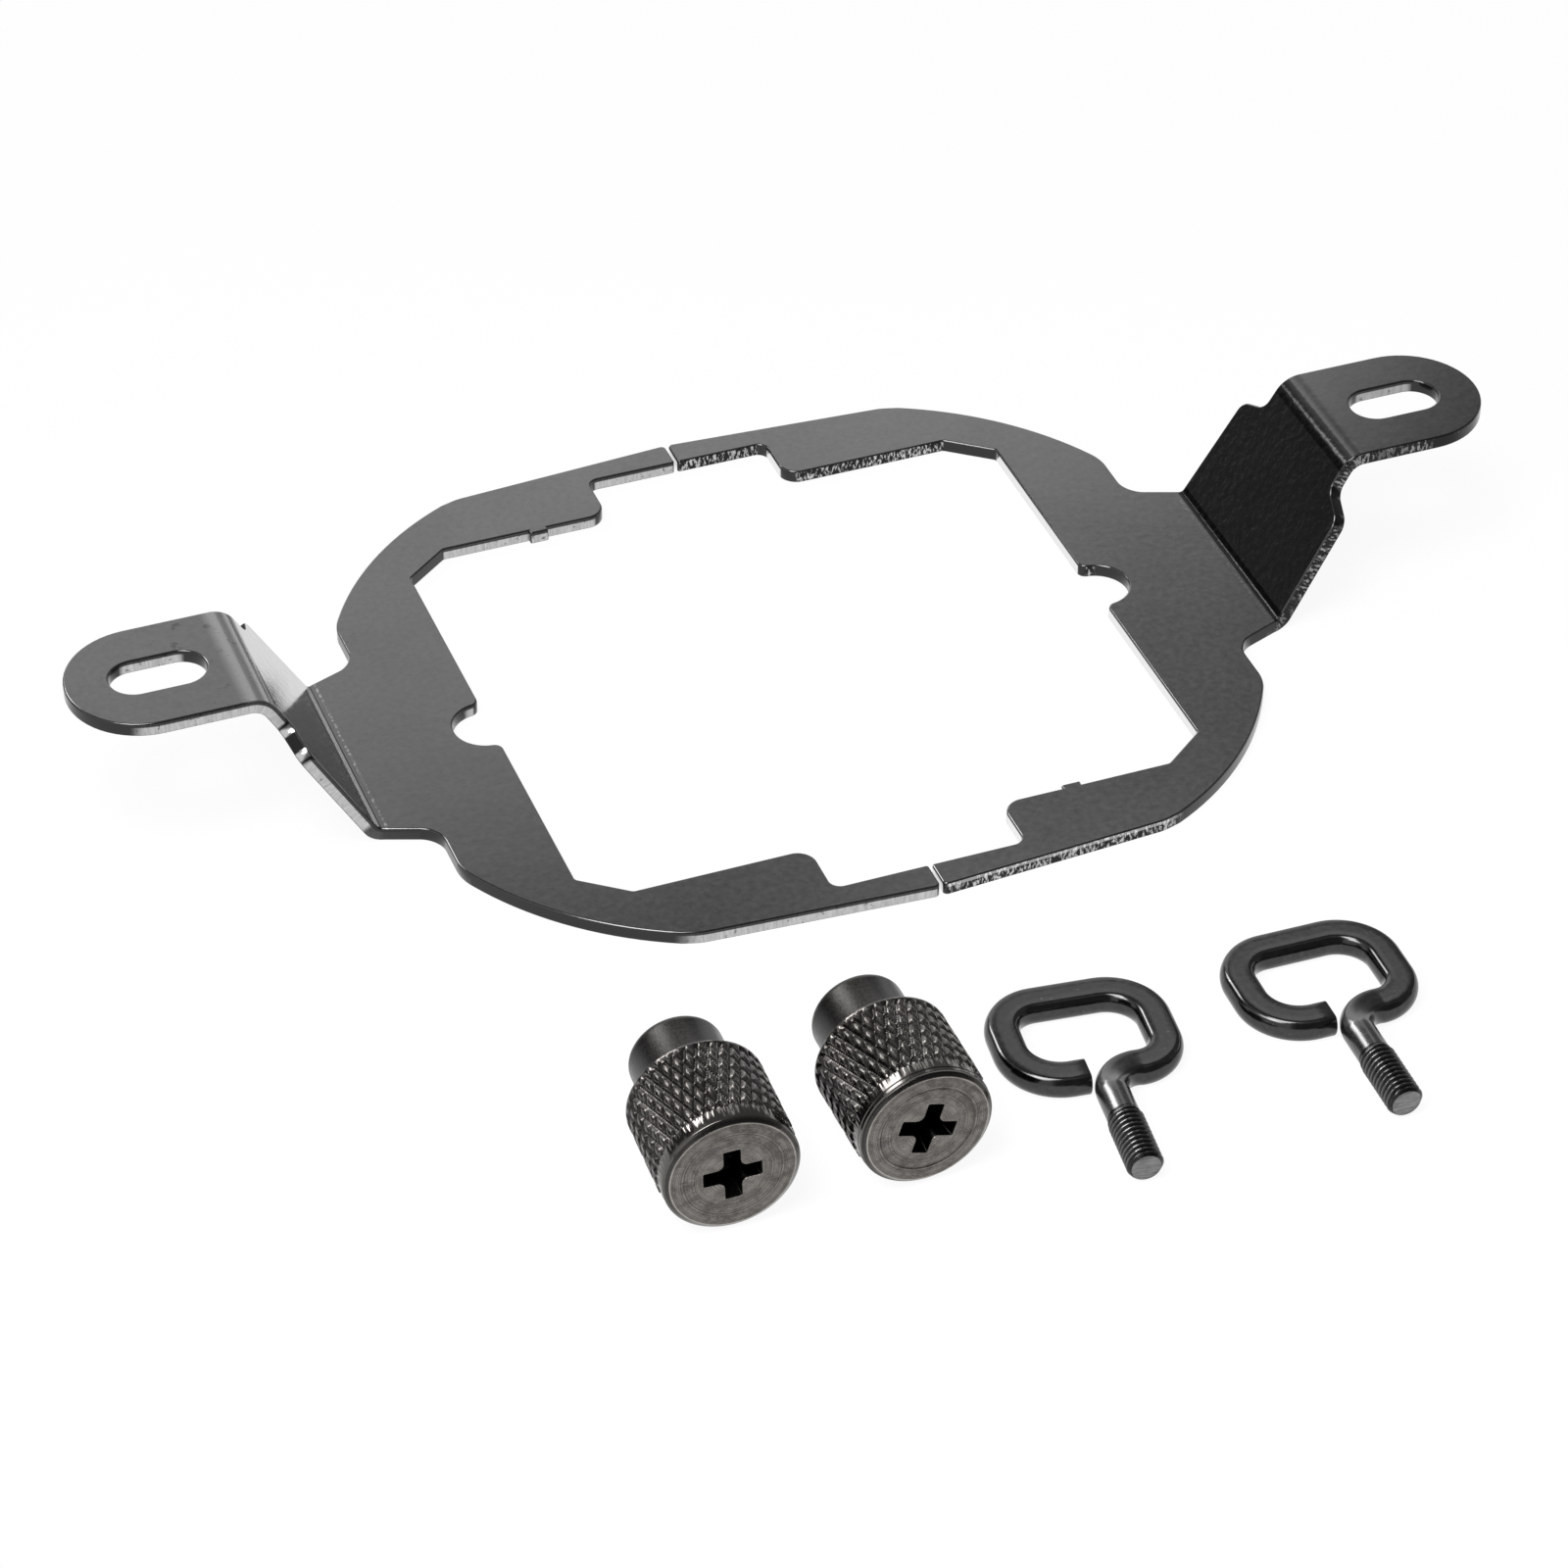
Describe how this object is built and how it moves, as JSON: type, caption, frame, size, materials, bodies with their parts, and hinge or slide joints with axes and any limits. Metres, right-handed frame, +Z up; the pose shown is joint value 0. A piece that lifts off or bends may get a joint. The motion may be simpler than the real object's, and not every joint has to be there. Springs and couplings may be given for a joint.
{
  "type": "cpu cooler mounting bracket",
  "caption": "Split folded-sheet bracket that clamps a cooler over a processor socket, laid out with its knurled thumb nuts and square hook bolts.",
  "frame": {"origin": "centre of the bottom of the box around the six pieces as they lie", "axes": "+X from the left ear to the right ear, +Y from the loose fasteners towards the bracket, +Z up from the table"},
  "size_m": [0.1282, 0.1052, 0.0142],
  "materials": {
    "bracket_left": "black plated steel sheet, satin with a fine orange-peel grain, pale at the cut edges",
    "bracket_right": "black plated steel sheet, satin with a fine orange-peel grain, pale at the cut edges",
    "thumb_nut_left": "black plated, diamond knurl, turned end face",
    "thumb_nut_right": "black plated, diamond knurl, turned end face",
    "hook_bolt_left": "glossy black plated steel bar, bright at the thread crests",
    "hook_bolt_right": "glossy black plated steel bar, bright at the thread crests"
  },
  "bodies": {
    "root": {"bracket_left": "bracket_left", "bracket_right": "bracket_right", "thumb_nut_left": "thumb_nut_left", "thumb_nut_right": "thumb_nut_right", "hook_bolt_left": "hook_bolt_left", "hook_bolt_right": "hook_bolt_right"}
  },
  "joints": []
}
